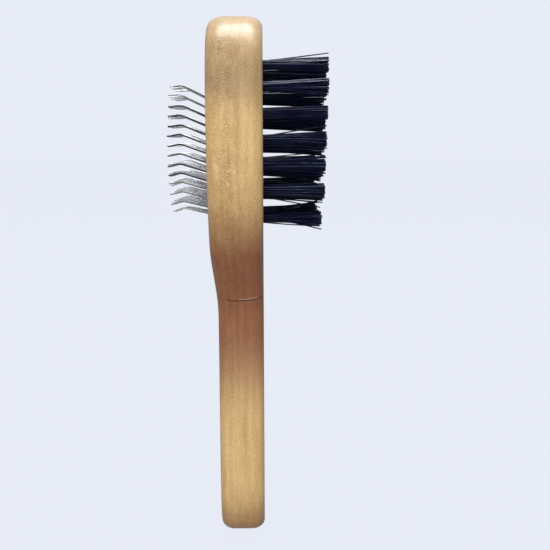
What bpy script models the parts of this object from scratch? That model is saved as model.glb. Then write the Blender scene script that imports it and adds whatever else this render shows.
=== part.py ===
"""Double-sided wooden pet brush: a slicker pad of bent steel pins on one face, nylon tufts on the other.

The brush is modelled lying flat in a board frame, in metres: x runs from the butt to the tip of the
head, y across the board, z = 0 is the bristle face and +z points out of the pin face. One empty
stands it upright in the world: butt at Z = 0, head up, bristles towards +X and pins towards -X.
"""

import math

import bmesh
import bpy
from mathutils import Vector

MM = 0.001

# Wooden body. Places along the board are set back from the tip of the head or up from the butt.
LENGTH = 185.4 * MM
HEAD_WIDTH = 69 * MM
HEAD_SET_BACK = 37.5 * MM  # from the tip of the head to its widest place
NECK_WIDTH = 28 * MM
NECK_SET_BACK = 102 * MM
GRIP_WIDTH = 32 * MM
GRIP_FROM_BUTT = 26 * MM  # from the butt to the widest place of the handle
BOARD = 17.7 * MM  # thickness of the head
HANDLE_RELIEF = 1.8 * MM  # the handle's pin side lies this much lower than the head's
RELIEF_RAMP = 27 * MM  # length of the slope between the two
RELIEF_MARGIN = 4 * MM  # from the pad's end to the top of that slope
EDGE_ROUND = 3.5 * MM
EDGE_SEGMENTS = 3
OUTLINE_STEPS = 9

# How full the outline's curves are: handle lengths as shares of the span that each one covers.
BUTT_HANDLE = 0.68
TIP_HANDLE = 0.8
SHOULDER_HANDLE = 0.62
NECK_HANDLE = 0.25

# Fits
CLEARANCE = 0.3 * MM  # round every piece that sits in another
WALL = 3.0 * MM  # least wood between the pocket and the tuft holes

# Slicker pad: an egg-shaped cushion let into the pin face, blunt towards the tip of the head
PAD_SET_BACK = 40.7 * MM  # from the tip of the head to the pad's widest place
PAD_MARGIN = 9 * MM  # from the pad's side to the edge of the head
PAD_TIP_MARGIN = 5.8 * MM  # from the first row of pins to the pad's end
PAD_NECK_MARGIN = 4.67 * MM  # from the last row of pins to the pad's other end
PAD_TIP_POWER = 3.0
PAD_NECK_POWER = 3.0
FOUNDATION = 1.8 * MM  # thickness of the rubber-faced cloth
FOAM_AT_RIM = 2.1 * MM
DOME_RISE = 2.0 * MM
LEDGE = 1.6 * MM  # width of the step that the foundation's rim is glued to
PAD_CELLS = 10
PAD_STEPS = 40  # sides of the pad's outline

# Slicker pins: U-shaped steel staples, pushed through the foundation from behind
PIN_WIRE = 0.45 * MM
PIN_ROWS = 14
PIN_ROW_PITCH = 2.98 * MM
PIN_PITCH = 3.8 * MM
PIN_FIRST_SET_BACK = 26.6 * MM  # from the tip of the head to the first row
PIN_EDGE = 3.4 * MM  # least distance from a pin to the pad's side
PIN_TO_KNEE = 9.0 * MM
KNEE_TO_TIP = 4.3 * MM
FIRST_LEAN = math.radians(27)  # towards the tip of the head, at the first row
LAST_LEAN = math.radians(13)
FIRST_BEND = math.radians(34)  # at the knee, towards the butt
LAST_BEND = math.radians(30)
CROWN_WIRE = 0.6 * MM
CROWN_SLACK = 0.1 * MM  # over the clearances on both sides of the crowns

# Nylon tufts, each folded into a blind hole of the bristle face
TUFT_ROWS = 7
TUFT_ROW_PITCH = 8.1 * MM
TUFT_BOW = 3.0 * MM  # how far the middle of a row lies towards the butt from its ends
TUFT_FIRST_SET_BACK = 15.6 * MM  # from the tip of the head to the first row
TUFT_COLUMNS = 6
TUFT_FIRST_COLUMNS = 5
TUFT_LAST_COLUMNS = 4
TUFT_SIDE_MARGIN = 10.5 * MM  # from the outermost tufts to the sides of the head
TUFT_ROOT = 3.3 * MM
TUFT_TIP = 6.2 * MM
TUFT_REACH = 21.3 * MM
TUFT_SIDES = 10

HEAD_AT = LENGTH - HEAD_SET_BACK
NECK_AT = LENGTH - NECK_SET_BACK
PAD_AT = LENGTH - PAD_SET_BACK
PAD_HALF_WIDTH = HEAD_WIDTH / 2 - PAD_MARGIN
PAD_TOWARDS_TIP = PAD_SET_BACK - PIN_FIRST_SET_BACK + PAD_TIP_MARGIN
PIN_LAST_SET_BACK = PIN_FIRST_SET_BACK + (PIN_ROWS - 1) * PIN_ROW_PITCH
PAD_TOWARDS_NECK = PIN_LAST_SET_BACK + PAD_NECK_MARGIN - PAD_SET_BACK
RELIEF_FOOT = PAD_AT - PAD_TOWARDS_NECK - RELIEF_MARGIN - RELIEF_RAMP
LEDGE_DEPTH = FOUNDATION + CLEARANCE
CROWN_DEPTH = FOUNDATION + CLEARANCE + CROWN_SLACK / 2 + CROWN_WIRE / 2
CROWN_SPACE = CROWN_WIRE + 2 * CLEARANCE + CROWN_SLACK  # between the foundation and the foam
POCKET_DEPTH = FOUNDATION + CROWN_SPACE + FOAM_AT_RIM + CLEARANCE
TUFT_DEPTH = BOARD - POCKET_DEPTH - WALL
TUFT_PITCH = (HEAD_WIDTH - 2 * TUFT_SIDE_MARGIN) / (TUFT_COLUMNS - 1)

SQUARE_FLAT = math.sqrt(0.5)  # half width of a four-sided tube over its corner radius
OVERCUT = 1 * MM  # how far a cutter runs past the face that it cuts
WELD = 0.001 * MM
SHARP_FROM = math.radians(35)


def material(name, colour, roughness, metallic=0.0):
    made = bpy.data.materials.new(name)
    made.use_nodes = True
    shader = made.node_tree.nodes["Principled BSDF"]
    shader.inputs["Base Color"].default_value = (*colour, 1.0)
    shader.inputs["Roughness"].default_value = roughness
    shader.inputs["Metallic"].default_value = metallic
    return made


def clear_scene():
    for obj in list(bpy.data.objects):
        bpy.data.objects.remove(obj, do_unlink=True)


def new_collection(name):
    made = bpy.data.collections.new(name)
    bpy.context.scene.collection.children.link(made)
    return made


clear_scene()
PARTS = new_collection("slicker_brush")
CUTTERS = new_collection("cutters_and_guides")
WOOD = material("lacquered_hardwood", (0.62, 0.42, 0.22), 0.3)
STEEL = material("steel_wire", (0.55, 0.56, 0.58), 0.3, 1.0)
NYLON = material("blue_black_nylon", (0.012, 0.013, 0.03), 0.45)
CLOTH = material("rubber_faced_cloth", (0.3, 0.31, 0.32), 0.8)
FOAM = material("backing_foam", (0.75, 0.72, 0.6), 0.95)


# Shapes shared by several pieces


def egg_radius(along, across, inset=0.0):
    """0 at the pad's widest place on its centre line and 1 on its outline, drawn in by inset."""
    span = PAD_TOWARDS_TIP if along > PAD_AT else PAD_TOWARDS_NECK
    power = PAD_TIP_POWER if along > PAD_AT else PAD_NECK_POWER
    run = abs(along - PAD_AT) / (span - inset)
    side = abs(across) / (PAD_HALF_WIDTH - inset)
    return (run**power + side**power) ** (1 / power)


def egg_half_width(along, inset=0.0):
    span = PAD_TOWARDS_TIP if along > PAD_AT else PAD_TOWARDS_NECK
    power = PAD_TIP_POWER if along > PAD_AT else PAD_NECK_POWER
    run = abs(along - PAD_AT) / (span - inset)
    return (PAD_HALF_WIDTH - inset) * (1 - run**power) ** (1 / power)


def egg_outline(inset):
    """Points round the pad's outline, drawn in by inset."""
    points = []
    for step in range(PAD_STEPS):
        turn = 2 * math.pi * step / PAD_STEPS
        reach = 1 / egg_radius(PAD_AT + math.cos(turn), math.sin(turn), inset)
        points.append((PAD_AT + reach * math.cos(turn), reach * math.sin(turn)))
    return points


def pad_surface(along, across):
    """Height of the foundation's outer face: flush at the rim, domed in the middle."""
    rise = max(0.0, 1 - egg_radius(along, across, LEDGE) ** 2)
    return BOARD + DOME_RISE * rise


def crown_room(along, lean):
    """How far across a row's pins can stand with their crowns still clear of the pocket's wall."""
    crown = along - CROWN_DEPTH * math.tan(lean)
    reach = CROWN_WIRE / 2 + CLEARANCE
    narrowest = min(egg_half_width(crown + side * reach, LEDGE) for side in (-1, 1))
    return narrowest - PIN_WIRE - CLEARANCE


def pin_rows():
    """The place, lean, bend and pin places of each row, from the tip of the head to the neck."""
    rows = []
    for row in range(PIN_ROWS):
        along = LENGTH - PIN_FIRST_SET_BACK - row * PIN_ROW_PITCH
        share = row / (PIN_ROWS - 1)
        lean = FIRST_LEAN + (LAST_LEAN - FIRST_LEAN) * share
        bend = FIRST_BEND + (LAST_BEND - FIRST_BEND) * share
        room = min(egg_half_width(along) - PIN_EDGE, crown_room(along, lean))
        staples = math.floor(room / PIN_PITCH + 0.5)
        places = [(pin + 0.5) * PIN_PITCH for pin in range(-staples, staples)]
        rows.append((along, lean, bend, places))
    return rows


def pin_point(along, across, lean, out):
    """The point of a pin's straight foot that lies at a given distance out of the foundation."""
    foot = Vector((along, across, pad_surface(along, across)))
    return foot + out * Vector((math.sin(lean), 0, math.cos(lean)))


def pin_tip(along, across, lean, bend):
    end = lean - bend
    knee = pin_point(along, across, lean, PIN_TO_KNEE)
    return knee + KNEE_TO_TIP * Vector((math.sin(end), 0, math.cos(end)))


def tuft_places():
    """Row number, column number and place of each tuft."""
    places = []
    counts = [TUFT_FIRST_COLUMNS, *[TUFT_COLUMNS] * (TUFT_ROWS - 2), TUFT_LAST_COLUMNS]
    for row, columns in enumerate(counts):
        ends_at = LENGTH - TUFT_FIRST_SET_BACK - row * TUFT_ROW_PITCH
        for column in range(columns):
            across = (column - (columns - 1) / 2) * TUFT_PITCH
            share = across / (HEAD_WIDTH / 2 - TUFT_SIDE_MARGIN)
            along = ends_at - TUFT_BOW * (1 - share * share)
            places.append((row + 1, column + 1, along, across))
    return places


# Making objects


def add(name, mesh, finish, collection=PARTS):
    obj = bpy.data.objects.new(name, mesh)
    collection.objects.link(obj)
    obj.parent = STAND
    if finish:
        mesh.materials.clear()
        mesh.materials.append(finish)
    if collection is CUTTERS:
        obj.hide_render = True
        obj.display_type = "WIRE"
    return obj


def curve_mesh(curve):
    """The closed mesh of a curve, with its loose caps welded on."""
    holder = bpy.data.objects.new("holder", curve)
    CUTTERS.objects.link(holder)
    graph = bpy.context.evaluated_depsgraph_get()
    mesh = bpy.data.meshes.new_from_object(holder.evaluated_get(graph))
    bpy.data.objects.remove(holder, do_unlink=True)
    edit = bmesh.new()
    edit.from_mesh(mesh)
    bmesh.ops.remove_doubles(edit, verts=edit.verts, dist=WELD)
    bmesh.ops.recalc_face_normals(edit, faces=edit.faces)
    edit.to_mesh(mesh)
    edit.free()
    return mesh


def plate(name, spline_maker, bottom, top):
    """A flat outline, drawn by spline_maker, extruded from bottom to top."""
    curve = bpy.data.curves.new(name, "CURVE")
    curve.dimensions = "2D"
    curve.fill_mode = "BOTH"
    curve.extrude = (top - bottom) / 2
    spline_maker(curve)
    mesh = curve_mesh(curve)
    edit = bmesh.new()
    edit.from_mesh(mesh)
    edit.normal_update()
    for side in (1, -1):
        cap = [face for face in edit.faces if face.normal.z * side > 0.9]
        bmesh.ops.dissolve_faces(edit, faces=cap)
    bmesh.ops.translate(edit, verts=edit.verts, vec=(0, 0, (top + bottom) / 2))
    edit.to_mesh(mesh)
    edit.free()
    return mesh


def wires(name, lines, corner_radius):
    """Four-sided tubes along lists of points, all in one mesh."""
    curve = bpy.data.curves.new(name, "CURVE")
    curve.dimensions = "3D"
    curve.bevel_depth = corner_radius
    curve.bevel_resolution = 0
    curve.use_fill_caps = True
    for line in lines:
        spline = curve.splines.new("POLY")
        spline.points.add(len(line) - 1)
        for point, place in zip(spline.points, line):
            point.co = (*place, 1.0)
    return curve_mesh(curve)


def domed_slab(name, bottom, top):
    """A square slab between two heights, each a function of the place on the board."""
    edit = bmesh.new()
    length = PAD_TOWARDS_TIP + PAD_TOWARDS_NECK + 2 * OVERCUT
    width = 2 * (PAD_HALF_WIDTH + OVERCUT)
    middle = PAD_AT + (PAD_TOWARDS_TIP - PAD_TOWARDS_NECK) / 2
    bmesh.ops.create_grid(edit, x_segments=PAD_CELLS, y_segments=PAD_CELLS, size=0.5)
    bmesh.ops.scale(edit, verts=edit.verts, vec=(length, width, 1))
    bmesh.ops.translate(edit, verts=edit.verts, vec=(middle, 0, 0))
    lower = list(edit.verts)
    grown = bmesh.ops.extrude_face_region(edit, geom=edit.faces[:])
    upper = [item for item in grown["geom"] if isinstance(item, bmesh.types.BMVert)]
    for vert in lower:
        vert.co.z = bottom(vert.co.x, vert.co.y)
    for vert in upper:
        vert.co.z = top(vert.co.x, vert.co.y)
    bmesh.ops.triangulate(edit, faces=edit.faces)
    bmesh.ops.recalc_face_normals(edit, faces=edit.faces)
    mesh = bpy.data.meshes.new(name)
    edit.to_mesh(mesh)
    edit.free()
    return mesh


def combine(obj, operation, cutter):
    change = obj.modifiers.new(f"{operation.lower()}_{cutter.name}", "BOOLEAN")
    change.operation = operation
    change.object = cutter


def shade(obj):
    obj.data.shade_smooth()
    obj.data.set_sharp_from_angle(angle=SHARP_FROM)


def egg_cutter(name, inset, bottom, top):
    """A straight-walled block with the pad's outline, drawn in by inset."""

    def draw(curve):
        points = egg_outline(inset)
        spline = curve.splines.new("POLY")
        spline.points.add(len(points) - 1)
        spline.use_cyclic_u = True
        for point, (along, across) in zip(spline.points, points):
            point.co = (along, across, 0, 1)

    return add(name, plate(name, draw, bottom, top), None, CUTTERS)


# Wooden body


def draw_body(curve):
    """The outline in plan: a broad head, a waisted neck and a handle with a round butt."""
    head = HEAD_WIDTH / 2
    neck = NECK_WIDTH / 2
    grip = GRIP_WIDTH / 2
    taper = HEAD_AT - NECK_AT
    waist = NECK_AT - GRIP_FROM_BUTT
    # along, half width, handle towards the tip, handle towards the butt
    side_points = [
        (HEAD_AT, head, HEAD_SET_BACK * TIP_HANDLE, taper * SHOULDER_HANDLE),
        (NECK_AT, neck, taper * NECK_HANDLE, waist / 3),
        (GRIP_FROM_BUTT, grip, waist / 3, GRIP_FROM_BUTT * BUTT_HANDLE),
    ]
    knots = [((LENGTH, 0), (LENGTH, -head * TIP_HANDLE), (LENGTH, head * TIP_HANDLE))]
    for along, half, ahead, behind in side_points:
        knots.append(((along, half), (along + ahead, half), (along - behind, half)))
    knots.append(((0, 0), (0, grip * BUTT_HANDLE), (0, -grip * BUTT_HANDLE)))
    for along, half, ahead, behind in reversed(side_points):
        knots.append(((along, -half), (along - behind, -half), (along + ahead, -half)))

    spline = curve.splines.new("BEZIER")
    spline.bezier_points.add(len(knots) - 1)
    spline.use_cyclic_u = True
    spline.resolution_u = OUTLINE_STEPS
    for point, (knot, before, after) in zip(spline.bezier_points, knots):
        point.co = (*knot, 0)
        point.handle_left = (*before, 0)
        point.handle_right = (*after, 0)


def relief_cutter():
    """The wedge-ended slab that thins the handle on its pin side."""
    low = BOARD - HANDLE_RELIEF
    profile = [
        (-OVERCUT, low),
        (RELIEF_FOOT, low),
        (RELIEF_FOOT + RELIEF_RAMP * (1 + OVERCUT / HANDLE_RELIEF), BOARD + OVERCUT),
        (-OVERCUT, BOARD + OVERCUT),
    ]
    edit = bmesh.new()
    corners = [edit.verts.new((along, -HEAD_WIDTH, height)) for along, height in profile]
    face = edit.faces.new(corners)
    grown = bmesh.ops.extrude_face_region(edit, geom=[face])
    moved = [item for item in grown["geom"] if isinstance(item, bmesh.types.BMVert)]
    bmesh.ops.translate(edit, verts=moved, vec=(0, 2 * HEAD_WIDTH, 0))
    bmesh.ops.recalc_face_normals(edit, faces=edit.faces)
    mesh = bpy.data.meshes.new("handle_relief")
    edit.to_mesh(mesh)
    edit.free()
    return add("handle_relief", mesh, None, CUTTERS)


def tuft_hole_cutter():
    """Pegs for the blind holes, all in one mesh."""
    edit = bmesh.new()
    depth = TUFT_DEPTH + OVERCUT
    for _, _, along, across in tuft_places():
        made = bmesh.ops.create_cone(
            edit,
            cap_ends=True,
            segments=TUFT_SIDES,
            radius1=TUFT_ROOT / 2 + CLEARANCE,
            radius2=TUFT_ROOT / 2 + CLEARANCE,
            depth=depth,
        )
        place = (along, across, TUFT_DEPTH - depth / 2)
        bmesh.ops.translate(edit, verts=made["verts"], vec=place)
    mesh = bpy.data.meshes.new("tuft_holes")
    edit.to_mesh(mesh)
    edit.free()
    return add("tuft_holes", mesh, None, CUTTERS)


def make_body():
    body = add("wood_body", plate("wood_body", draw_body, 0, BOARD), WOOD)
    combine(body, "DIFFERENCE", relief_cutter())
    rounding = body.modifiers.new("rounded_edges", "BEVEL")
    rounding.width = EDGE_ROUND
    rounding.segments = EDGE_SEGMENTS
    rounding.limit_method = "ANGLE"
    rounding.angle_limit = math.radians(45)
    rounding.use_clamp_overlap = False
    above = BOARD + OVERCUT
    combine(body, "DIFFERENCE", egg_cutter("ledge", -CLEARANCE, BOARD - LEDGE_DEPTH, above))
    combine(body, "DIFFERENCE", egg_cutter("pocket", LEDGE, BOARD - POCKET_DEPTH, above))
    combine(body, "DIFFERENCE", tuft_hole_cutter())
    shade(body)


# Slicker pad


def foundation_back(along, across):
    return pad_surface(along, across) - FOUNDATION


def foam_front(along, across):
    return foundation_back(along, across) - CROWN_SPACE


def pocket_floor(along, across):
    return BOARD - POCKET_DEPTH + CLEARANCE


def make_foam():
    foam = add("pad_foam", domed_slab("pad_foam", pocket_floor, foam_front), FOAM)
    outline = egg_cutter("foam_outline", LEDGE + CLEARANCE, 0, 2 * BOARD)
    combine(foam, "INTERSECT", outline)


def make_foundation():
    slab = domed_slab("pad_foundation", foundation_back, pad_surface)
    foundation = add("pad_foundation", slab, CLOTH)
    combine(foundation, "INTERSECT", egg_cutter("foundation_outline", 0, 0, 2 * BOARD))
    inner = -FOUNDATION - CROWN_SPACE
    lines = []
    for along, lean, _, places in pin_rows():
        for across in places:
            start = pin_point(along, across, lean, inner)
            end = pin_point(along, across, lean, OVERCUT)
            lines.append((start, end))
    hole = PIN_WIRE / 2 + CLEARANCE / SQUARE_FLAT
    combine(foundation, "DIFFERENCE", add("pin_holes", wires("pin_holes", lines, hole), None, CUTTERS))


def make_pin_row(number, along, lean, bend, places):
    """One row of staples. Its legs stand on one strip, which stands for their crowns."""
    crown = [pin_point(along, across, lean, -CROWN_DEPTH / math.cos(lean)) for across in places]
    legs = []
    for across, root in zip(places, crown):
        knee = pin_point(along, across, lean, PIN_TO_KNEE)
        legs.append((root, knee, pin_tip(along, across, lean, bend)))
    end = Vector((0, PIN_WIRE, 0))
    line = [crown[0] - end, *crown, crown[-1] + end]
    name = f"pin_row_{number:02d}"
    row = add(name, wires(name, [line], CROWN_WIRE / 2), STEEL)
    guide = add(f"legs_{number:02d}", wires(f"legs_{number:02d}", legs, PIN_WIRE / 2), None, CUTTERS)
    combine(row, "UNION", guide)


# Tufts


def make_tufts():
    """Each tuft is a straight root in its hole and a bundle that spreads towards its tips."""
    edit = bmesh.new()
    root = TUFT_DEPTH - CLEARANCE
    for radius_out, radius_in, out, inner in (
        (TUFT_ROOT / 2, TUFT_ROOT / 2, 0, root),
        (TUFT_TIP / 2, TUFT_ROOT / 2, -TUFT_REACH, 0),
    ):
        made = bmesh.ops.create_cone(
            edit,
            cap_ends=False,
            segments=TUFT_SIDES,
            radius1=radius_out,
            radius2=radius_in,
            depth=inner - out,
        )
        bmesh.ops.translate(edit, verts=made["verts"], vec=(0, 0, (inner + out) / 2))
    bmesh.ops.remove_doubles(edit, verts=edit.verts, dist=WELD)
    open_edges = [edge for edge in edit.edges if edge.is_boundary]
    bmesh.ops.holes_fill(edit, edges=open_edges, sides=TUFT_SIDES)
    bmesh.ops.recalc_face_normals(edit, faces=edit.faces)
    mesh = bpy.data.meshes.new("tuft")
    edit.to_mesh(mesh)
    edit.free()
    mesh.shade_smooth()
    mesh.set_sharp_from_angle(angle=SHARP_FROM)
    for row, column, along, across in tuft_places():
        tuft = add(f"tuft_{row}_{column}", mesh, NYLON)
        tuft.location = (along, across, 0)


def stand_upright():
    """Turns the board frame upright, with the middle of its depth over the world's origin."""
    heights = []
    for along, lean, bend, places in pin_rows():
        heights += [pin_tip(along, across, lean, bend).z for across in places]
    STAND.rotation_euler = (0, math.radians(-90), 0)
    STAND.location = ((max(heights) - TUFT_REACH) / 2, 0, 0)


STAND = bpy.data.objects.new("brush_frame", None)
PARTS.objects.link(STAND)
make_body()
make_foam()
make_foundation()
for number, (along, lean, bend, places) in enumerate(pin_rows(), 1):
    make_pin_row(number, along, lean, bend, places)
make_tufts()
stand_upright()
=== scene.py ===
"""The looks of the double-sided wooden pet brush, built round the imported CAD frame.

Everything is in metres in the frame's axes: +Z from the butt to the tip of the head, +X out of the
bristle face, -X out of the pin face, Y across the board. Shapes on the board are worked out in its
own terms: along (up from the butt), across, and height above the bristle face.
"""

import math

import bpy
import numpy as np
from mathutils import Matrix, Vector


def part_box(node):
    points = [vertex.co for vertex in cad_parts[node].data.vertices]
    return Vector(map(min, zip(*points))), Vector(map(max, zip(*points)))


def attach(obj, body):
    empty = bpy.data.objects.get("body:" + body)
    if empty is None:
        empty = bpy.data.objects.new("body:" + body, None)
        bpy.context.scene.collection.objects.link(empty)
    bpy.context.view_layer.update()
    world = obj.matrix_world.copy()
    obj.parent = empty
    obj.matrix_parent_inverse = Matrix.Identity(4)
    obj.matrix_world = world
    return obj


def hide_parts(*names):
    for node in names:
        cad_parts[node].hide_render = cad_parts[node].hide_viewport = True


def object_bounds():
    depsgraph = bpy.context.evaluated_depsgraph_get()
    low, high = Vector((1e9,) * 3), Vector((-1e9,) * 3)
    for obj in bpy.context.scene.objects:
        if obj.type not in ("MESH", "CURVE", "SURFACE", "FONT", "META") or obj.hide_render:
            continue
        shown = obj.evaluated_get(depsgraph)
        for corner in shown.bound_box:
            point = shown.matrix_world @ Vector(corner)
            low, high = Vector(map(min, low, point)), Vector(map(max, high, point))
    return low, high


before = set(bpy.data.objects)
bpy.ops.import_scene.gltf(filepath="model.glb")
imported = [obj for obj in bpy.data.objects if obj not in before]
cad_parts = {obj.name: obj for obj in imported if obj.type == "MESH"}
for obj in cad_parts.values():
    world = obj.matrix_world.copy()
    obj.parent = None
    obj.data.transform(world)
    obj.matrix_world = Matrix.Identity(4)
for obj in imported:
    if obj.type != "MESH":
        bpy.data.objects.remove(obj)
CAD_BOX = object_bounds()

MM = 0.001
WOOD_LOW, WOOD_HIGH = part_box("wood_body")
FACE_X = WOOD_HIGH[0]  # the bristle face
LENGTH = WOOD_HIGH[2]
HEAD_HALF = WOOD_HIGH[1]
BOARD = WOOD_HIGH[0] - WOOD_LOW[0]

# Wooden body, as in the frame
HEAD_AT = LENGTH - 37.5 * MM
NECK_AT = LENGTH - 102 * MM
NECK_HALF = 14 * MM
GRIP_AT = 26 * MM
GRIP_HALF = 16 * MM
BUTT_HANDLE = 0.68
TIP_HANDLE = 0.8
SHOULDER_HANDLE = 0.62
NECK_HANDLE = 0.25
HANDLE_RELIEF = 1.8 * MM
RELIEF_RAMP = 27 * MM
EDGE_INSET = 3.5 * MM  # how far the rounding of the edges reaches over the faces
EDGE_DROP = 4.6 * MM  # and over the sides
TIP_INSET = 3.4 * MM
TIP_DROP = 5.4 * MM
TIP_RUN = 16 * MM  # the rounding changes over this length below the tip of the head
OUTLINE_STEPS = 30
EDGE_STEPS = 9

# Marks in the wood, in millimetres, which the finishes work in
PITH_AT = -26  # the growth rings' middle, in X
RING_SPACING = 2.6
ARCH_MIDDLE = 12.2  # above the bristle face
ARCH_SPACING = 0.78
NECK_LINE_AT = 91.1
NECK_LINE_MIDDLE = 9.0  # above the bristle face
STREAK_HEIGHT = 10.6
# painted highlights: small pale glints on the head's -Y side
PAINTED_GLINTS = ((10.6, 135.8), (8.9, 135.6), (10.8, 131.8))  # height above the bristle face, and along

# Slicker pad, as in the frame
PAD_LOW, PAD_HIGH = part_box("pad_foundation")
PAD_HALF = PAD_HIGH[1]
PAD_AT = LENGTH - 40.7 * MM
PAD_TOWARDS_TIP = PAD_HIGH[2] - PAD_AT
PAD_TOWARDS_NECK = PAD_AT - PAD_LOW[2]
RELIEF_MARGIN = 4 * MM
RELIEF_FOOT = PAD_LOW[2] - RELIEF_MARGIN - RELIEF_RAMP
PAD_TIP_POWER = 3.0
PAD_NECK_POWER = 3.0
CLEARANCE = 0.3 * MM
LEDGE = 1.6 * MM
FOUNDATION = 1.8 * MM
DOME_RISE = 2.0 * MM
POCKET_DEPTH = 5.5 * MM
FOAM_STEPS = 96
PAD_STEPS = 150
PAD_CORE = 0.012  # the innermost ring's share of the pad
RIM_FROM = 0.985  # the rim's rounding starts at this share
RIM_DROP = 0.35 * MM
DIMPLE = 0.22 * MM
DIMPLE_REACH = 0.55 * MM

# Slicker pins, as in the frame
PIN_ROWS = 14
PIN_ROW_PITCH = 2.98 * MM
PIN_PITCH = 3.8 * MM
PIN_FIRST_AT = LENGTH - 26.6 * MM
PIN_WIRE = 0.45 * MM
PIN_TO_KNEE = 9.0 * MM
KNEE_TO_TIP = 4.3 * MM
CORNER_REACH = 0.9 * MM
CORNER_STEPS = 5
FIRST_LEAN = math.radians(27)
LAST_LEAN = math.radians(13)
FIRST_BEND = math.radians(34)
LAST_BEND = math.radians(30)
PIN_SIDES = 8
CROWN_BEHIND = 0.65 * MM  # the crowns lie this far behind the foundation
KNEE_MARGIN = 0.1 * MM  # keeps uneven pins inside the frame's box
PIN_END = 1.1 * MM  # the last of a pin turns back a little
PIN_END_TURN = math.radians(9)
LEAN_SCATTER = math.radians(0.5)
BEND_SCATTER = math.radians(1.8)
SWAY_SCATTER = math.radians(0.8)
KNEE_SCATTER = 0.14 * MM

# Tufts. Splay, lean and curl are sideways reach for each metre out of the face
FILAMENT = 0.42 * MM
FILAMENTS = 50
FILAMENT_SIDES = 6
FILAMENT_POINTS = 7
FILAMENT_START = -3.5 * MM  # in the hole, below the face
GOLDEN_TURN = 2.39996  # spreads the roots evenly over the hole
ROOT_SCATTER = 0.05
SPLAY = 0.040
SPLAY_SCATTER = 0.017
TUFT_LEAN_SCATTER = 0.016
CURL_SCATTER = 0.014
LAST_ROW_SPLAY_SCATTER = 0.03
LAST_ROW_LEAN = 0.03
LAST_ROW_CURL_SCATTER = 0.02
STRAY_SHARE = 0.035
STRAY_SCATTER = 0.075
UNEVEN = 0.012  # every filament is shorter by up to this share
MORE_UNEVEN = 0.05  # and a few by up to this
ROW_SHORTER = 0.012  # each row is shorter than the one before it by this share
TUFT_MARGIN = 0.1 * MM
TUFT_ROOT = 3.2 * MM
HOLE = 3.6 * MM
HOLE_DEPTH = 6.5 * MM
TUFT_LAST_ROW = 7
# loose filaments at the near side: how far they lean towards the tip of the head, by (row, column)
STRAYS = {(1, 1): (0.17, 0.10), (4, 1): (0.17,), (7, 1): (-0.14, 0.10)}

# Stage
FLOOR = 6.0
FLOOR_GLOW = 0.985
BACKGROUND = (0.80, 0.84, 0.92)
LENS = 47.7
CAMERA_BACK = 259.7 * MM
CAMERA_UP = 145 * MM
CAMERA_TURN = math.radians(-0.907)
CAMERA_TILT = math.radians(90 - 10.44)  # up from looking straight down
CAMERA_ROLL = math.radians(-0.124)

random = np.random.default_rng(20)


def on_board(along, across, height):
    """A place on the board in the frame's axes."""
    return np.stack(np.broadcast_arrays(FACE_X - height, across, along), axis=-1)


def smooth(share):
    """0 to 1 with level ends."""
    return share * share * (3 - 2 * share)


# Meshes


def add_mesh(name, verts, faces, finish):
    mesh = bpy.data.meshes.new(name)
    mesh.from_pydata(np.asarray(verts).tolist(), [], faces)
    mesh.validate()
    obj = bpy.data.objects.new(name, mesh)
    bpy.context.scene.collection.objects.link(obj)
    if finish:
        mesh.materials.append(finish)
    return obj


def ring_faces(rings, count, start=0):
    """Quads between closed rings of count points each, which follow one another."""
    faces = []
    for ring in range(rings - 1):
        low = start + ring * count
        for step in range(count):
            after = (step + 1) % count
            faces.append((low + step, low + after, low + count + after, low + count + step))
    return faces


def closed_faces(rings, count, start=0):
    """The same, with a face over the first ring and one over the last."""
    first = range(start, start + count)
    last = range(start + (rings - 1) * count, start + rings * count)
    return ring_faces(rings, count, start) + [tuple(first)[::-1], tuple(last)]


def tubes(name, paths, radii, sides, finish):
    """Round wires or filaments in one mesh. paths is (wires, points, 3) and radii (wires, points)."""
    wires, points, _ = paths.shape
    along = np.gradient(paths, axis=1)
    along /= np.linalg.norm(along, axis=2, keepdims=True)
    side = np.cross(along[:, 0], (0.0, 0.31, 0.95))
    turns = (2 * np.pi * np.arange(sides) / sides)[None, :, None]
    verts = np.empty((wires, points, sides, 3))
    for point in range(points):
        here = along[:, point]
        side = side - np.sum(side * here, axis=1, keepdims=True) * here
        side /= np.linalg.norm(side, axis=1, keepdims=True)
        other = np.cross(here, side)
        ring = np.cos(turns) * side[:, None] + np.sin(turns) * other[:, None]
        verts[:, point] = paths[:, point, None] + radii[:, point, None, None] * ring
    one = closed_faces(points, sides)
    faces = []
    for wire in range(wires):
        base = wire * points * sides
        faces.extend(tuple(base + corner for corner in face) for face in one)
    obj = add_mesh(name, verts.reshape(-1, 3), faces, finish)
    obj.data.shade_smooth()
    obj.data.set_sharp_from_angle(angle=math.radians(60))
    return obj


def cut(obj, cutter):
    """Takes the cutter out of the piece and removes the cutter."""
    change = obj.modifiers.new("cut", "BOOLEAN")
    change.operation = "DIFFERENCE"
    change.object = cutter
    graph = bpy.context.evaluated_depsgraph_get()
    mesh = bpy.data.meshes.new_from_object(obj.evaluated_get(graph))
    obj.modifiers.clear()
    obj.data = mesh
    bpy.data.objects.remove(cutter, do_unlink=True)


# Shader nodes


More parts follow.
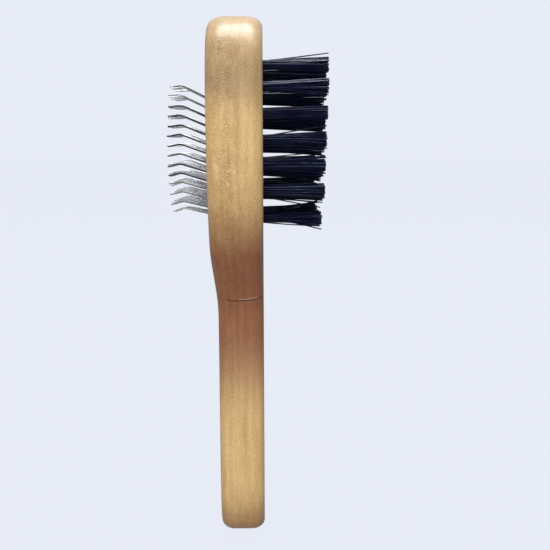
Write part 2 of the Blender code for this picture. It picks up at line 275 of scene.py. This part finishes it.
class Socket:
    """A shader value that can be written in sums and products."""

    def __init__(self, tree, socket):
        self.tree = tree
        self.socket = socket

    def math(self, operation, *others, clamp=False):
        node = self.tree.nodes.new("ShaderNodeMath")
        node.operation = operation
        node.use_clamp = clamp
        for place, value in enumerate((self, *others)):
            if isinstance(value, Socket):
                self.tree.links.new(value.socket, node.inputs[place])
            else:
                node.inputs[place].default_value = value
        return Socket(self.tree, node.outputs[0])

    def __add__(self, other):
        return self.math("ADD", other)

    def __sub__(self, other):
        return self.math("SUBTRACT", other)

    def __mul__(self, other):
        return self.math("MULTIPLY", other)

    def absolute(self):
        return self.math("ABSOLUTE")

    def sine(self):
        return self.math("SINE")

    def ramp(self, low, high, to_low=0.0, to_high=1.0):
        """to_low at low, to_high at high, smoothly between."""
        node = self.tree.nodes.new("ShaderNodeMapRange")
        node.interpolation_type = "SMOOTHSTEP"
        self.tree.links.new(self.socket, node.inputs["Value"])
        node.inputs["From Min"].default_value = low
        node.inputs["From Max"].default_value = high
        node.inputs["To Min"].default_value = to_low
        node.inputs["To Max"].default_value = to_high
        return Socket(self.tree, node.outputs["Result"])


class Finish:
    """A Principled BSDF material with helpers for its patterns, which work in millimetres."""

    def __init__(self, name):
        self.material = bpy.data.materials.new(name)
        self.material.use_nodes = True
        self.tree = self.material.node_tree
        self.shader = self.tree.nodes["Principled BSDF"]
        place = self.tree.nodes.new("ShaderNodeTexCoord")
        scale = self.tree.nodes.new("ShaderNodeVectorMath")
        scale.operation = "SCALE"
        scale.inputs["Scale"].default_value = 1 / MM
        self.tree.links.new(place.outputs["Object"], scale.inputs[0])
        self.place = scale.outputs[0]
        split = self.tree.nodes.new("ShaderNodeSeparateXYZ")
        self.tree.links.new(self.place, split.inputs[0])
        self.x, self.y, self.z = (Socket(self.tree, split.outputs[i]) for i in range(3))

    def set(self, **values):
        for name, value in values.items():
            self.shader.inputs[name.replace("_", " ")].default_value = value

    def noise(self, size, detail=2.0, roughness=0.5, shift=0.0, distortion=0.0):
        """Noise from 0 to 1 whose grains are about size = (x, y, z) millimetres."""
        node = self.tree.nodes.new("ShaderNodeMapping")
        node.inputs["Scale"].default_value = [1 / side for side in size]
        node.inputs["Location"].default_value = (shift, shift, shift)
        self.tree.links.new(self.place, node.inputs["Vector"])
        noise = self.tree.nodes.new("ShaderNodeTexNoise")
        noise.inputs["Scale"].default_value = 1.0
        noise.inputs["Detail"].default_value = detail
        noise.inputs["Roughness"].default_value = roughness
        noise.inputs["Distortion"].default_value = distortion
        self.tree.links.new(node.outputs[0], noise.inputs["Vector"])
        return Socket(self.tree, noise.outputs["Fac"])

    def mix(self, amount, dark, light):
        """Between two colours, or sockets, by amount."""
        node = self.tree.nodes.new("ShaderNodeMix")
        node.data_type = "RGBA"
        self.tree.links.new(amount.socket, node.inputs["Factor"])
        for name, value in (("A", dark), ("B", light)):
            socket = next(s for s in node.inputs if s.name == name and s.type == "RGBA")
            if isinstance(value, tuple):
                socket.default_value = (*value, 1.0)
            else:
                self.tree.links.new(value, socket)
        return next(s for s in node.outputs if s.type == "RGBA")

    def bump(self, height, distance, strength=1.0):
        """Height 0 to 1 as relief of that many metres."""
        node = self.tree.nodes.new("ShaderNodeBump")
        node.inputs["Strength"].default_value = strength
        node.inputs["Distance"].default_value = distance
        self.tree.links.new(height.socket, node.inputs["Height"])
        self.tree.links.new(node.outputs[0], self.shader.inputs["Normal"])

    def link(self, value, name):
        socket = value.socket if isinstance(value, Socket) else value
        self.tree.links.new(socket, self.shader.inputs[name])


def growth_rings(wood):
    """Nearly parallel to the board's faces, so that they show as long lines on the faces."""
    wander = (wood.noise((6, 6, 18), 2, shift=3) - 0.5) * 1.8
    ring_x = wood.x - PITH_AT
    ring_y = wood.y * 0.35 + wood.z * 0.02
    place = (ring_x * ring_x + ring_y * ring_y).math("SQRT") + wander
    return (place * (2 * math.pi / RING_SPACING)).sine() * 0.5 + 0.5


def side_arches(wood, height):
    """Nested arches where the head's sides cut across the grain."""
    off_centre = height - ARCH_MIDDLE
    wobble = (wood.noise((1.6, 30, 1.1), 3, 0.65, shift=7) - 0.5) * 2.0
    place = wood.z + off_centre * off_centre * 0.13 + wobble
    arches = (place * (2 * math.pi / ARCH_SPACING)).sine() * 0.5 + 0.5
    zone = wood.y.absolute().ramp(25, 31) * off_centre.absolute().ramp(7.5, 2.5)
    zone = zone * wood.z.ramp(104, 120)
    patches = wood.noise((4, 12, 5), 2, shift=21).ramp(0.30, 0.60)
    return arches * zone * patches


def neck_line(wood, height):
    """The dark line across the -Y side of the neck, and the pale lip above it: the lip is raised a
    little, and its paleness is a painted highlight.
    """
    off_middle = height - NECK_LINE_MIDDLE
    bow = off_middle * off_middle * 0.016
    wander = (wood.noise((2.2, 9, 9), 2, shift=31) - 0.5) * 0.5
    off_line = wood.z - NECK_LINE_AT - bow - wander
    zone = wood.y.ramp(-9, -12) * height.ramp(13.6, 12.4)
    line = off_line.absolute().ramp(0.44, 0.14) * zone
    # the lip is raised a little in the bump; its paleness in the colour is a painted highlight
    lip = (off_line - 0.45).absolute().ramp(0.24, 0.02) * zone
    lip = lip * height.ramp(9.4, 8.0) * height.ramp(1.5, 2.5)
    return line, lip


def side_streak(wood, height):
    """A short dark streak along the grain of the head's -Y side."""
    zone = wood.z.ramp(133.5, 135) * wood.z.ramp(144.5, 143) * wood.y.ramp(-28, -31)
    return (height - STREAK_HEIGHT).absolute().ramp(0.35, 0.1) * zone


def painted_side_glints(wood, height, flecks):
    """Small pale glints on the head's -Y side, painted highlights."""
    glints = None
    for mark_height, mark_z in PAINTED_GLINTS:
        across = height - mark_height
        along = wood.z - mark_z
        apart = (across * across + along * along).math("SQRT") + flecks * 0.5
        mark = apart.ramp(1.0, 0.35) * wood.y.ramp(-28, -31)
        glints = mark if glints is None else glints.math("MAXIMUM", mark)
    return glints


def wood_finish():
    """Light hardwood under clear gloss lacquer."""
    wood = Finish("lacquered_wood")
    height = wood.x * -1 + FACE_X / MM  # from the bristle face
    fibres = wood.noise((0.36, 0.36, 7), 3, 0.6, shift=1)
    streaks = wood.noise((1.7, 1.7, 30), 2, 0.5, shift=11)
    clouds = wood.noise((9, 14, 16), 2, 0.5, shift=5)
    flecks = wood.noise((0.42, 0.42, 0.55), 3, 0.7, shift=15)
    pores = wood.noise((0.16, 0.16, 1.5), 1, 0.5, shift=19).ramp(0.66, 0.74)
    tone = (
        growth_rings(wood) * 0.08
        + (fibres - 0.5) * 0.40
        + (streaks - 0.5) * 0.50
        + (clouds - 0.5) * 0.5
        + (flecks - 0.5) * 1.2
        + 0.52
        - side_arches(wood, height) * 0.30
        - pores * 0.2
    )
    tone = tone.math("ADD", 0.0, clamp=True)
    pale = wood.mix(tone, (0.37, 0.218, 0.078), (0.87, 0.61, 0.305))
    # painted shade: the neck and the top of the handle, under the head's overhang, and the butt are
    # darkened to a browner colour. The top of the head is darker, partly a darker olive band in the wood
    # and partly painted shade against the overhead light
    painted_shade_brown = wood.mix(tone, (0.150, 0.054, 0.023), (0.38, 0.165, 0.089))
    olive_and_painted_shade = wood.mix(tone, (0.19, 0.115, 0.045), (0.50, 0.355, 0.19))
    # painted shade under the head's overhang, on the neck and the top of the handle, and painted shade
    # at the butt
    neck = wood.z.ramp(42, 82) * wood.z.ramp(134, 104)
    butt = wood.z.ramp(24, 2) * 0.6
    colour = wood.mix((neck + butt) * (clouds * 0.5 + 0.75), pale, painted_shade_brown)
    # darker from 150 mm up to the tip of the head: partly an olive band in the wood, partly painted
    # shade against the overhead light
    colour = wood.mix(wood.z.ramp(150, 164) * 0.9, colour, olive_and_painted_shade)
    line, lip = neck_line(wood, height)
    colour = wood.mix(line * 0.8, colour, (0.10, 0.042, 0.022))
    colour = wood.mix(side_streak(wood, height) * 0.35, colour, (0.20, 0.11, 0.05))
    # painted highlights: the pale glints on the head's side and the pale lip above the neck line
    painted_highlights = painted_side_glints(wood, height, flecks) * 0.55 + lip * 0.5
    colour = wood.mix(painted_highlights, colour, (0.80, 0.68, 0.50))
    wood.link(colour, "Base Color")
    wood.link(fibres.ramp(0.2, 0.8, 0.40, 0.5), "Roughness")
    grain = fibres * 0.35 + flecks * 0.3 - pores * 0.8 - line * 2.5 + lip * 1.2
    wood.bump(grain, 0.035 * MM, 0.6)
    wood.set(IOR=1.5, Specular_IOR_Level=0.4, Coat_Weight=0.3, Coat_Roughness=0.22, Coat_IOR=1.5)
    return wood.material


def steel_finish():
    """Drawn steel wire: fine lines along the wire and a slight dullness that varies. The pins towards
    either side are painted dark, as painted shade and dark reflection.
    """
    steel = Finish("steel_wire")
    dull = steel.noise((1.4, 0.5, 0.5), 3, 0.6)
    # painted shade and dark reflection: pins more than 10 mm to either side turn nearly black
    outer_pins_painted_dark = steel.y.absolute().ramp(10, 20)
    colour = steel.mix(dull, (0.66, 0.67, 0.69), (0.88, 0.89, 0.91))
    colour = steel.mix(outer_pins_painted_dark, colour, (0.045, 0.05, 0.06))
    steel.link(colour, "Base Color")
    steel.link(dull.ramp(0.3, 0.7, 0.24, 0.38), "Roughness")
    steel.set(Metallic=0.85)
    return steel.material


def nylon_finish():
    """Blue-black nylon. The tone changes from one filament to the next."""
    nylon = Finish("nylon_filament")
    tone = nylon.noise((9, 0.4, 0.4), 1, 0.5)
    colour = nylon.mix(tone, (0.0010, 0.0014, 0.011), (0.006, 0.009, 0.034))
    nylon.link(colour, "Base Color")
    nylon.link(tone.ramp(0.3, 0.7, 0.28, 0.42), "Roughness")
    nylon.set(IOR=1.53, Specular_Tint=(0.72, 0.84, 1.0, 1))
    return nylon.material


def rubber_finish():
    """Rubber-faced cloth: the weave shows through the grey rubber."""
    rubber = Finish("rubber_faced_cloth")
    weave = (rubber.y * (2 * math.pi / 0.62)).sine() * (rubber.z * (2 * math.pi / 0.62)).sine()
    mottle = rubber.noise((2.5, 2.5, 2.5), 3, 0.6)
    grit = rubber.noise((0.12, 0.12, 0.12), 2, 0.6, shift=4)
    colour = rubber.mix(mottle, (0.20, 0.205, 0.215), (0.33, 0.335, 0.345))
    rubber.link(colour, "Base Color")
    rubber.link(grit.ramp(0.3, 0.7, 0.62, 0.8), "Roughness")
    rubber.bump(weave * 0.4 + grit * 0.5, 0.05 * MM, 0.7)
    rubber.set(IOR=1.5)
    return rubber.material


def foam_finish():
    """Pale open-cell foam."""
    foam = Finish("backing_foam")
    cells = foam.noise((0.35, 0.35, 0.35), 3, 0.7)
    foam.link(foam.mix(cells, (0.5, 0.46, 0.33), (0.8, 0.76, 0.62)), "Base Color")
    foam.bump(cells, 0.2 * MM)
    foam.set(Roughness=0.95)
    return foam.material


# Wooden body


def bezier(start, leave, arrive, end, steps):
    """Points along one curve, without the last."""
    t = np.arange(steps)[:, None] / steps
    p0, p1, p2, p3 = (np.array(corner) for corner in (start, leave, arrive, end))
    return (1 - t) ** 3 * p0 + 3 * (1 - t) ** 2 * t * p1 + 3 * (1 - t) * t**2 * p2 + t**3 * p3


def body_outline():
    """(along, across) from the tip of the head down one side to the butt, and up the other."""
    up = HEAD_HALF * TIP_HANDLE
    taper = HEAD_AT - NECK_AT
    waist = (NECK_AT - GRIP_AT) / 3
    tip_run = (LENGTH - HEAD_AT) * TIP_HANDLE
    tip = (LENGTH, 0)
    head = (HEAD_AT, HEAD_HALF)
    neck = (NECK_AT, NECK_HALF)
    grip = (GRIP_AT, GRIP_HALF)
    below_head = (HEAD_AT - taper * SHOULDER_HANDLE, HEAD_HALF)
    above_neck = (NECK_AT + taper * NECK_HANDLE, NECK_HALF)
    curves = [
        (tip, (LENGTH, up), (HEAD_AT + tip_run, HEAD_HALF), head),
        (head, below_head, above_neck, neck),
        (neck, (NECK_AT - waist, NECK_HALF), (GRIP_AT + waist, GRIP_HALF), grip),
        (grip, (GRIP_AT * (1 - BUTT_HANDLE), GRIP_HALF), (0, GRIP_HALF * BUTT_HANDLE), (0, 0)),
    ]
    half = np.concatenate([bezier(*curve, OUTLINE_STEPS) for curve in curves] + [[(0.0, 0.0)]])
    other = half[-2:0:-1] * (1, -1)
    return np.concatenate([half, other])


def pin_face_height(along):
    """Thickness of the board: the handle is a little thinner than the head."""
    run = np.clip((along - RELIEF_FOOT) / RELIEF_RAMP, 0, 1)
    return BOARD - HANDLE_RELIEF * (1 - smooth(run))


def make_body(finish):
    """The board with its rounded edges, before the pocket and the holes are cut."""
    outline = body_outline()
    count = len(outline)
    tangent = np.roll(outline, -1, axis=0) - np.roll(outline, 1, axis=0)
    tangent /= np.linalg.norm(tangent, axis=1, keepdims=True)
    outward = np.stack([tangent[:, 1], -tangent[:, 0]], axis=1)
    share = smooth(np.clip(1 - (LENGTH - outline[:, 0]) / TIP_RUN, 0, 1))
    inset = (EDGE_INSET + (TIP_INSET - EDGE_INSET) * share)[:, None]
    drop = EDGE_DROP + (TIP_DROP - EDGE_DROP) * share
    turns = np.linspace(0, math.pi / 2, EDGE_STEPS)
    rings = []
    for turn in turns:
        spot = outline - outward * inset * (1 - math.sin(turn))
        rings.append(on_board(spot[:, 0], spot[:, 1], drop * (1 - math.cos(turn))))
    for turn in turns[::-1]:
        spot = outline - outward * inset * (1 - math.sin(turn))
        height = pin_face_height(spot[:, 0]) - drop * (1 - math.cos(turn))
        rings.append(on_board(spot[:, 0], spot[:, 1], height))
    verts = np.concatenate(rings)
    faces = ring_faces(len(rings), count)
    half = count // 2
    for low, back in ((0, False), ((len(rings) - 1) * count, True)):
        for step in range(half):
            corners = [step, step + 1, (count - step - 1) % count, (count - step) % count]
            corners = [low + corner for corner in dict.fromkeys(corners)]
            faces.append(tuple(corners if back else corners[::-1]))
    return add_mesh("lacquered_body", verts, faces, finish)


def egg_radius(along, across, inset=0.0):
    """0 at the middle of the pad and 1 on its outline, drawn in by inset."""
    up = along > PAD_AT
    power = np.where(up, PAD_TIP_POWER, PAD_NECK_POWER)
    run = np.abs(along - PAD_AT) / (np.where(up, PAD_TOWARDS_TIP, PAD_TOWARDS_NECK) - inset)
    side = np.abs(across) / (PAD_HALF - inset)
    return (run**power + side**power) ** (1 / power)


def egg_ring(share, inset, steps):
    """Points round the pad's outline, drawn in by inset, at a share of its size."""
    turn = 2 * np.pi * np.arange(steps) / steps
    reach = share / egg_radius(PAD_AT + np.cos(turn), np.sin(turn), inset)
    return PAD_AT + reach * np.cos(turn), reach * np.sin(turn)


def egg_cutter(inset, depth, steps=120):
    """A block with the pad's outline, drawn in by inset, that reaches depth into the pin face."""
    along, across = egg_ring(1.0, inset, steps)
    low = on_board(along, across, BOARD - depth)
    high = on_board(along, across, BOARD + 2 * MM)
    return add_mesh("pocket_cutter", np.concatenate([low, high]), closed_faces(2, steps), None)


def tuft_nodes():
    """Row, column and place (along, across) of each tuft in the frame."""
    places = []
    for name in sorted(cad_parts):
        if name.startswith("tuft_"):
            row, column = (int(part) for part in name.split("_")[1:])
            low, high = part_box(name)
            places.append((row, column, (low[2] + high[2]) / 2, (low[1] + high[1]) / 2))
    return places


def hole_cutter(steps=20):
    """A rod for each tuft, from above the bristle face to the bottom of the hole."""
    turn = 2 * np.pi * np.arange(steps) / steps
    round_along = HOLE / 2 * np.cos(turn)
    round_across = HOLE / 2 * np.sin(turn)
    verts, faces = [], []
    for _, _, along, across in tuft_nodes():
        faces += closed_faces(2, steps, len(verts) * steps)
        for height in (-2 * MM, HOLE_DEPTH):
            verts.append(on_board(along + round_along, across + round_across, height))
    return add_mesh("hole_cutter", np.concatenate(verts), faces, None)


# Slicker pad and pins


def pad_surface(along, across):
    """Height of the domed pad above the bristle face."""
    rise = np.clip(1 - egg_radius(along, across, LEDGE) ** 2, 0, 1)
    return BOARD + DOME_RISE * rise**1.15


def pin_rows():
    """Row number, place, lean, bend and the places across of the row's pins.

    Known fault: a row's box is one pitch short of its number of pins, and pins leaves that one out.
    make_pins takes the places in pairs, so each row is drawn with two pins fewer than the frame's
    row has, and half a pitch off its places.
    """
    rows = []
    for row in range(PIN_ROWS):
        low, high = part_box(f"pin_row_{row + 1:02d}")
        pins = round((high[1] - low[1]) / PIN_PITCH)
        places = (np.arange(pins) - (pins - 1) / 2) * PIN_PITCH
        share = row / (PIN_ROWS - 1)
        lean = FIRST_LEAN + (LAST_LEAN - FIRST_LEAN) * share
        bend = FIRST_BEND + (LAST_BEND - FIRST_BEND) * share
        rows.append((row + 1, PIN_FIRST_AT - row * PIN_ROW_PITCH, lean, bend, places))
    return rows


def rounded(points):
    """A line through the points with its corners rounded, as a bent wire has them."""

    def towards(corner, other):
        way = other - corner
        length = np.linalg.norm(way)
        return corner + way / length * min(CORNER_REACH, length / 2.2)

    line = [points[0]]
    for before, corner, after in zip(points, points[1:], points[2:]):
        start = towards(corner, before)
        end = towards(corner, after)
        for t in np.linspace(0, 1, CORNER_STEPS):
            line.append((1 - t) ** 2 * start + 2 * (1 - t) * t * corner + t * t * end)
    line.append(points[-1])
    return line


def leg(along, across, lean, bend):
    """One leg of a staple, from its tip down to its crown, each a little different from the next."""
    lean = lean + random.normal(0, LEAN_SCATTER)
    bend = bend + random.normal(0, BEND_SCATTER)
    sway = random.normal(0, SWAY_SCATTER)
    knee_out = PIN_TO_KNEE - KNEE_MARGIN + random.normal(0, KNEE_SCATTER)
    foot = np.array((along, across, float(pad_surface(along, across))))

    def towards(angle):
        return np.array((math.sin(angle), math.sin(sway), math.cos(angle)))

    root = foot - towards(lean) * (FOUNDATION + CROWN_BEHIND) / math.cos(lean)
    knee = foot + towards(lean) * knee_out
    end = knee + towards(lean - bend) * (KNEE_TO_TIP - PIN_END)
    tip = end + towards(lean - bend + PIN_END_TURN) * PIN_END
    return [tip, end, knee, root]


def make_pins(finish):
    """The staples, one piece for each row."""
    pieces = []
    for number, along, lean, bend, places in pin_rows():
        staples = []
        for left, right in zip(places[::2], places[1::2]):
            points = leg(along, left, lean, bend) + leg(along, right, lean, bend)[::-1]
            line = np.array(rounded(points))
            staples.append(on_board(line[:, 0], line[:, 1], line[:, 2]))
        paths = np.array(staples)
        radii = np.full(paths.shape[:2], PIN_WIRE / 2)
        piece = tubes(f"staples_{number:02d}", paths, radii, PIN_SIDES, finish)
        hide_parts(f"pin_row_{number:02d}")
        pieces.append(piece)
    return pieces


def make_foam(finish):
    """The foam behind the foundation, squeezed thinner at its rim."""
    low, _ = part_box("pad_foam")
    floor = BOARD - POCKET_DEPTH + CLEARANCE
    rise = FACE_X - low[0] - floor
    inset = LEDGE + CLEARANCE
    rings = []
    for share in np.linspace(0.02, 1, 24):
        along, across = egg_ring(share, inset, FOAM_STEPS)
        crown = rise - (DOME_RISE + 0.3 * MM) * share**2
        rings.append(on_board(along, across, floor + crown * (1 - 0.12 * share**12)))
    for share in (1.0, 0.6, 0.02):
        along, across = egg_ring(share, inset, FOAM_STEPS)
        rings.append(on_board(along, across, floor))
    faces = closed_faces(len(rings), FOAM_STEPS)
    foam = add_mesh("foam_cushion", np.concatenate(rings), faces, finish)
    foam.data.shade_smooth()
    return foam


def make_pad(finish):
    """The foundation: domed in the middle, a rounded rim, and a dimple round each pin."""
    pins = np.array([(along, across) for _, along, _, _, places in pin_rows() for across in places])
    rings = []

    def ring(share, drop):
        along, across = egg_ring(share, 0.0, PAD_STEPS)
        height = pad_surface(along, across) - drop
        gap = np.hypot(along[:, None] - pins[:, 0], across[:, None] - pins[:, 1])
        dimple = np.exp(-((gap / DIMPLE_REACH) ** 2)).sum(axis=1)
        height = height - DIMPLE * np.clip(dimple, 0, 1) * (drop == 0)
        rings.append(on_board(along, across, height))

    for share in np.linspace(PAD_CORE, RIM_FROM, 78):
        ring(share, 0)
    for turn in np.linspace(15, 90, 5):
        angle = math.radians(turn)
        ring(RIM_FROM + (1 - RIM_FROM) * math.sin(angle), RIM_DROP * (1 - math.cos(angle)))
    for share in (1.0, 0.5, PAD_CORE):
        ring(share, FOUNDATION)
    faces = closed_faces(len(rings), PAD_STEPS)
    pad = add_mesh("pin_cushion", np.concatenate(rings), faces, finish)
    pad.data.shade_smooth()
    return pad


# Tufts


def tuft_paths(row, column, along, across, face_reach):
    """Filaments of one tuft: packed in the hole, spreading and curving a little towards their tips."""
    order = np.arange(FILAMENTS)
    spread = np.sqrt((order + 0.5) / FILAMENTS)
    turn = order * GOLDEN_TURN + random.uniform(0, 6.28)
    root = np.stack([spread * np.cos(turn), spread * np.sin(turn)], axis=1)
    root += random.normal(0, ROOT_SCATTER, root.shape)
    out = np.linspace(FILAMENT_START, face_reach, FILAMENT_POINTS)
    t = np.clip(out / face_reach, 0, 1)
    splay = root * SPLAY + random.normal(0, SPLAY_SCATTER, root.shape)
    lean = random.normal(0, TUFT_LEAN_SCATTER, 2)
    curl = random.normal(0, CURL_SCATTER, root.shape)
    if row == TUFT_LAST_ROW:
        splay += random.normal(0, LAST_ROW_SPLAY_SCATTER, root.shape) + (LAST_ROW_LEAN, 0)
        curl += random.normal(0, LAST_ROW_CURL_SCATTER, root.shape)
    strays = random.random(FILAMENTS) < STRAY_SHARE
    splay[strays] += random.normal(0, STRAY_SCATTER, (int(strays.sum()), 2))
    for filament, lean_out in enumerate(STRAYS.get((row, column), ())):
        splay[-1 - filament] = (lean_out, 0)
    shorter = UNEVEN * random.random(FILAMENTS) + MORE_UNEVEN * random.random(FILAMENTS) ** 6
    length = face_reach * (1 - shorter)
    reach = t[None, :] * length[:, None]
    side = root[:, None] * TUFT_ROOT / 2 * 0.9
    side = side + (splay + lean)[:, None] * reach[..., None]
    side = side + curl[:, None] * reach[..., None] * t[None, :, None]
    depth = np.where(out[None, :] < 0, out[None, :], reach)
    return on_board(along + side[..., 0], across + side[..., 1], -depth)


def make_tufts(finish):
    """The filaments, one piece for each tuft."""
    pieces = []
    longest = CAD_BOX[1][0] - FACE_X
    for row, column, along, across in tuft_nodes():
        reach = longest * (1 - ROW_SHORTER * (row - 1)) - TUFT_MARGIN
        paths = tuft_paths(row, column, along, across, reach)
        radii = np.full(paths.shape[:2], FILAMENT / 2)
        piece = tubes(f"bristles_{row}_{column}", paths, radii, FILAMENT_SIDES, finish)
        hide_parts(f"tuft_{row}_{column}")
        pieces.append(piece)
    return pieces


# Stage, camera and lights


def make_stage():
    """A pale floor. It takes soft shadows, and only the camera sees it."""
    finish = Finish("pale_floor")
    cloud = finish.noise((300, 300, 300), 2)
    tone = finish.mix(cloud, (0.005, 0.005, 0.006), (0.007, 0.007, 0.008))
    finish.link(tone, "Base Color")
    finish.set(Roughness=1.0, Specular_IOR_Level=0.0)
    finish.set(Emission_Color=(*BACKGROUND, 1), Emission_Strength=FLOOR_GLOW)
    corners = [(-FLOOR, -FLOOR, 0), (FLOOR, -FLOOR, 0), (FLOOR, FLOOR, 0), (-FLOOR, FLOOR, 0)]
    floor = add_mesh("floor", corners, [(0, 1, 2, 3)], finish.material)
    floor.visible_diffuse = False
    floor.visible_glossy = False


def make_world():
    """Pale all round for the camera. As light it is bright above and behind, and dim in front."""
    world = bpy.data.worlds.new("studio")
    bpy.context.scene.world = world
    world.use_nodes = True
    tree = world.node_tree
    tree.nodes.clear()
    place = tree.nodes.new("ShaderNodeTexCoord")
    split = tree.nodes.new("ShaderNodeSeparateXYZ")
    tree.links.new(place.outputs["Generated"], split.inputs[0])
    _, behind, above = (Socket(tree, split.outputs[i]) for i in range(3))
    light = above.ramp(-0.2, 1.0, 0.0, 0.42) + behind.ramp(-0.4, 0.9, 0.0, 0.32) + 0.09
    lit = tree.nodes.new("ShaderNodeBackground")
    lit.inputs["Color"].default_value = (0.93, 0.96, 1.0, 1)
    tree.links.new(light.socket, lit.inputs["Strength"])
    seen = tree.nodes.new("ShaderNodeBackground")
    seen.inputs["Color"].default_value = (*BACKGROUND, 1)
    path = tree.nodes.new("ShaderNodeLightPath")
    choose = tree.nodes.new("ShaderNodeMixShader")
    tree.links.new(path.outputs["Is Camera Ray"], choose.inputs[0])
    tree.links.new(lit.outputs[0], choose.inputs[1])
    tree.links.new(seen.outputs[0], choose.inputs[2])
    out = tree.nodes.new("ShaderNodeOutputWorld")
    tree.links.new(choose.outputs[0], out.inputs[0])


def add_light(name, place, size, power, colour):
    """A rectangular soft light that faces the middle of the brush."""
    lamp = bpy.data.lights.new(name, "AREA")
    lamp.shape = "RECTANGLE"
    lamp.size, lamp.size_y = size
    lamp.energy = power
    lamp.color = colour
    obj = bpy.data.objects.new(name, lamp)
    bpy.context.scene.collection.objects.link(obj)
    obj.location = place
    towards = Vector((0, 0, LENGTH / 2)) - Vector(place)
    obj.rotation_euler = towards.to_track_quat("-Z", "Y").to_euler()
    return obj


def make_lights():
    """One light overhead, and two fills that make no highlight of their own."""
    add_light("overhead", (0.05, 0.05, 0.92), size=(0.50, 0.46), power=8.4, colour=(1.0, 0.99, 0.97))
    fill_size = (0.8, 0.7)
    front = add_light("front_fill", (-0.12, -0.90, 0.26), fill_size, power=9.6, colour=(1.0, 0.98, 0.95))
    back = add_light("back_fill", (0.25, 0.85, 0.45), fill_size, power=4.0, colour=(0.95, 0.97, 1.0))
    for fill in (front, back):
        fill.visible_glossy = False


def make_camera():
    """Looks at the edge of the board, from its -Y side and a little above."""
    data = bpy.data.cameras.new("camera")
    data.sensor_width = 36
    data.lens = LENS
    data.clip_start = 0.01
    camera = bpy.data.objects.new("camera", data)
    bpy.context.scene.collection.objects.link(camera)
    camera.location = (FACE_X, -CAMERA_BACK, CAMERA_UP)
    turn = Matrix.Rotation(CAMERA_TURN, 3, "Z")
    tilt = Matrix.Rotation(CAMERA_TILT, 3, "X")
    roll = Matrix.Rotation(CAMERA_ROLL, 3, "Z")
    camera.rotation_euler = (turn @ tilt @ roll).to_euler()
    bpy.context.scene.camera = camera


def show_all():
    """Makes every piece, hides the frame's parts that it stands in for, and attaches each piece to the
    root body.
    """
    body = make_body(wood_finish())
    cut(body, egg_cutter(-CLEARANCE, FOUNDATION + CLEARANCE))
    cut(body, egg_cutter(LEDGE, POCKET_DEPTH))
    cut(body, hole_cutter())
    body.data.shade_smooth()
    body.data.set_sharp_from_angle(angle=math.radians(32))
    flats = body.modifiers.new("flat_faces", "WEIGHTED_NORMAL")
    flats.keep_sharp = True
    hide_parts("wood_body")
    pad = make_pad(rubber_finish())
    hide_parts("pad_foundation")
    pins = make_pins(steel_finish())
    tufts = make_tufts(nylon_finish())
    foam = make_foam(foam_finish())
    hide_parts("pad_foam")
    for piece in (body, pad, foam, *pins, *tufts):
        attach(piece, "root")


bpy.context.scene.view_settings.view_transform = "Standard"
make_camera()
make_world()
make_lights()
make_stage()
show_all()
